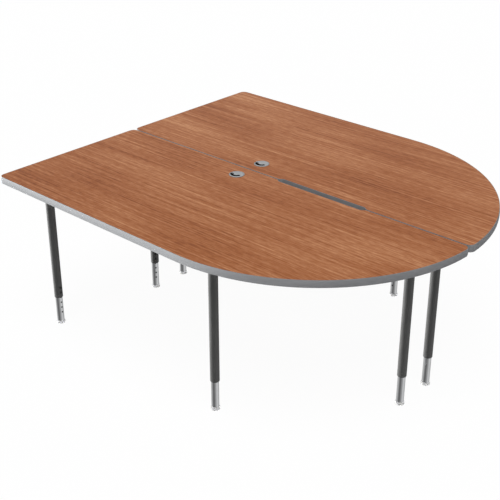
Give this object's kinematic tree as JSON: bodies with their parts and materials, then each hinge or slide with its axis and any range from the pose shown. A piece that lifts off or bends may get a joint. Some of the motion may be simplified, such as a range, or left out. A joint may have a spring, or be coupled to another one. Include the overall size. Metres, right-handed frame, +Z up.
{
  "type": "collaboration table",
  "caption": "D-shaped collaboration table in mirrored halves: wood-grain top with grey edge band, cable slot and cord grommets by the seam, height-adjustable legs on levelling glides.",
  "frame": {"origin": "on the floor, under the middle of the table's outline", "axes": "+X along the seam from the flat end towards the round tip, +Y from the seam towards the back half, +Z up"},
  "size_m": [1.8348, 1.5378, 0.7384],
  "materials": {
    "wood_laminate": "satin cherry wood-grain laminate",
    "particleboard": "raw pressed board",
    "backer": "matte brown balancing sheet",
    "edge_band": "satin grey moulding",
    "grommet": "fine-grained grey moulding",
    "black_paint": "semi-gloss black powder coat",
    "chrome": "bright chrome",
    "black_plastic": "black nylon",
    "zinc_steel": "zinc-plated steel",
    "nylon": "pale translucent nylon",
    "black_steel": "black oxide"
  },
  "bodies": {
    "table": {"front_top_core": "particleboard", "front_top_laminate": "wood_laminate", "front_backer_sheet": "backer", "front_edge_band": "edge_band", "front_grommet_liner": "grommet", "front_corner_upper_leg": "black_paint", "front_seam_upper_leg": "black_paint", "front_curve_upper_leg": "black_paint", "front_tip_upper_leg": "black_paint", "back_top_core": "particleboard", "back_top_laminate": "wood_laminate", "back_backer_sheet": "backer", "back_edge_band": "edge_band", "back_grommet_liner": "grommet", "back_corner_upper_leg": "black_paint", "back_seam_upper_leg": "black_paint", "back_curve_upper_leg": "black_paint", "back_tip_upper_leg": "black_paint", "leg_bushes": "black_plastic", "height_screws": "black_steel", "leg_plates": "black_paint", "leg_plate_screws": "zinc_steel", "seam_plates": "zinc_steel", "seam_plate_screws": "zinc_steel"},
    "front_cap": {"front_grommet_cap": "grommet"},
    "front_corner_leg": {"front_corner_lower_leg": "chrome", "front_corner_leg_plug": "black_plastic"},
    "front_corner_glide": {"front_corner_glide_foot": "nylon"},
    "front_corner_stem": {"front_corner_glide_stem": "zinc_steel"},
    "front_seam_leg": {"front_seam_lower_leg": "chrome", "front_seam_leg_plug": "black_plastic"},
    "front_seam_glide": {"front_seam_glide_foot": "nylon"},
    "front_seam_stem": {"front_seam_glide_stem": "zinc_steel"},
    "front_curve_leg": {"front_curve_lower_leg": "chrome", "front_curve_leg_plug": "black_plastic"},
    "front_curve_glide": {"front_curve_glide_foot": "nylon"},
    "front_curve_stem": {"front_curve_glide_stem": "zinc_steel"},
    "front_tip_leg": {"front_tip_lower_leg": "chrome", "front_tip_leg_plug": "black_plastic"},
    "front_tip_glide": {"front_tip_glide_foot": "nylon"},
    "front_tip_stem": {"front_tip_glide_stem": "zinc_steel"},
    "back_cap": {"back_grommet_cap": "grommet"},
    "back_corner_leg": {"back_corner_lower_leg": "chrome", "back_corner_leg_plug": "black_plastic"},
    "back_corner_glide": {"back_corner_glide_foot": "nylon"},
    "back_corner_stem": {"back_corner_glide_stem": "zinc_steel"},
    "back_seam_leg": {"back_seam_lower_leg": "chrome", "back_seam_leg_plug": "black_plastic"},
    "back_seam_glide": {"back_seam_glide_foot": "nylon"},
    "back_seam_stem": {"back_seam_glide_stem": "zinc_steel"},
    "back_curve_leg": {"back_curve_lower_leg": "chrome", "back_curve_leg_plug": "black_plastic"},
    "back_curve_glide": {"back_curve_glide_foot": "nylon"},
    "back_curve_stem": {"back_curve_glide_stem": "zinc_steel"},
    "back_tip_leg": {"back_tip_lower_leg": "chrome", "back_tip_leg_plug": "black_plastic"},
    "back_tip_glide": {"back_tip_glide_foot": "nylon"},
    "back_tip_stem": {"back_tip_glide_stem": "zinc_steel"}
  },
  "joints": [
    {"name": "front_cap_turn", "type": "hinge", "parent": "table", "child": "front_cap", "pos_m": [-0.17768, -0.0795, 0.7366], "axis": [0, 0, 1], "continuous": true},
    {"name": "front_corner_height", "type": "slide", "parent": "table", "child": "front_corner_leg", "axis": [0, 0, 1], "range_m": [-0.0762, 0.1016]},
    {"name": "front_corner_level", "type": "slide", "parent": "front_corner_leg", "child": "front_corner_glide", "axis": [0, 0, 1], "range_m": [-0.0127, 0]},
    {"name": "front_corner_stem_turn", "type": "hinge", "parent": "front_corner_glide", "child": "front_corner_stem", "pos_m": [-0.78668, -0.6127, 0.0127], "axis": [0, 0, 1], "range_deg": [-2881, 0]},
    {"name": "front_seam_height", "type": "slide", "parent": "table", "child": "front_seam_leg", "axis": [0, 0, 1], "range_m": [-0.0762, 0.1016]},
    {"name": "front_seam_level", "type": "slide", "parent": "front_seam_leg", "child": "front_seam_glide", "axis": [0, 0, 1], "range_m": [-0.0127, 0]},
    {"name": "front_seam_stem_turn", "type": "hinge", "parent": "front_seam_glide", "child": "front_seam_stem", "pos_m": [-0.70918, -0.0926, 0.0127], "axis": [0, 0, 1], "range_deg": [-2881, 0]},
    {"name": "front_curve_height", "type": "slide", "parent": "table", "child": "front_curve_leg", "axis": [0, 0, 1], "range_m": [-0.0762, 0.1016]},
    {"name": "front_curve_level", "type": "slide", "parent": "front_curve_leg", "child": "front_curve_glide", "axis": [0, 0, 1], "range_m": [-0.0127, 0]},
    {"name": "front_curve_stem_turn", "type": "hinge", "parent": "front_curve_glide", "child": "front_curve_stem", "pos_m": [0.19862, -0.6157, 0.0127], "axis": [0, 0, 1], "range_deg": [-2881, 0]},
    {"name": "front_tip_height", "type": "slide", "parent": "table", "child": "front_tip_leg", "axis": [0, 0, 1], "range_m": [-0.0762, 0.1016]},
    {"name": "front_tip_level", "type": "slide", "parent": "front_tip_leg", "child": "front_tip_glide", "axis": [0, 0, 1], "range_m": [-0.0127, 0]},
    {"name": "front_tip_stem_turn", "type": "hinge", "parent": "front_tip_glide", "child": "front_tip_stem", "pos_m": [0.72312, -0.0926, 0.0127], "axis": [0, 0, 1], "range_deg": [-2881, 0]},
    {"name": "back_cap_turn", "type": "hinge", "parent": "table", "child": "back_cap", "pos_m": [-0.17768, 0.0795, 0.7366], "axis": [0, 0, 1], "continuous": true},
    {"name": "back_corner_height", "type": "slide", "parent": "table", "child": "back_corner_leg", "axis": [0, 0, 1], "range_m": [-0.0762, 0.1016]},
    {"name": "back_corner_level", "type": "slide", "parent": "back_corner_leg", "child": "back_corner_glide", "axis": [0, 0, 1], "range_m": [-0.0127, 0]},
    {"name": "back_corner_stem_turn", "type": "hinge", "parent": "back_corner_glide", "child": "back_corner_stem", "pos_m": [-0.78668, 0.6127, 0.0127], "axis": [0, 0, 1], "range_deg": [-2881, 0]},
    {"name": "back_seam_height", "type": "slide", "parent": "table", "child": "back_seam_leg", "axis": [0, 0, 1], "range_m": [-0.0762, 0.1016]},
    {"name": "back_seam_level", "type": "slide", "parent": "back_seam_leg", "child": "back_seam_glide", "axis": [0, 0, 1], "range_m": [-0.0127, 0]},
    {"name": "back_seam_stem_turn", "type": "hinge", "parent": "back_seam_glide", "child": "back_seam_stem", "pos_m": [-0.70918, 0.0926, 0.0127], "axis": [0, 0, 1], "range_deg": [-2881, 0]},
    {"name": "back_curve_height", "type": "slide", "parent": "table", "child": "back_curve_leg", "axis": [0, 0, 1], "range_m": [-0.0762, 0.1016]},
    {"name": "back_curve_level", "type": "slide", "parent": "back_curve_leg", "child": "back_curve_glide", "axis": [0, 0, 1], "range_m": [-0.0127, 0]},
    {"name": "back_curve_stem_turn", "type": "hinge", "parent": "back_curve_glide", "child": "back_curve_stem", "pos_m": [0.19862, 0.6157, 0.0127], "axis": [0, 0, 1], "range_deg": [-2881, 0]},
    {"name": "back_tip_height", "type": "slide", "parent": "table", "child": "back_tip_leg", "axis": [0, 0, 1], "range_m": [-0.0762, 0.1016]},
    {"name": "back_tip_level", "type": "slide", "parent": "back_tip_leg", "child": "back_tip_glide", "axis": [0, 0, 1], "range_m": [-0.0127, 0]},
    {"name": "back_tip_stem_turn", "type": "hinge", "parent": "back_tip_glide", "child": "back_tip_stem", "pos_m": [0.72312, 0.0926, 0.0127], "axis": [0, 0, 1], "range_deg": [-2881, 0]}
  ],
  "couplings": [
    {"joint": "front_corner_stem_turn", "follows": "front_corner_level", "rad_per_m": 3957.9},
    {"joint": "front_seam_stem_turn", "follows": "front_seam_level", "rad_per_m": 3957.9},
    {"joint": "front_curve_stem_turn", "follows": "front_curve_level", "rad_per_m": 3957.9},
    {"joint": "front_tip_stem_turn", "follows": "front_tip_level", "rad_per_m": 3957.9},
    {"joint": "back_corner_stem_turn", "follows": "back_corner_level", "rad_per_m": 3957.9},
    {"joint": "back_seam_stem_turn", "follows": "back_seam_level", "rad_per_m": 3957.9},
    {"joint": "back_curve_stem_turn", "follows": "back_curve_level", "rad_per_m": 3957.9},
    {"joint": "back_tip_stem_turn", "follows": "back_tip_level", "rad_per_m": 3957.9}
  ]
}
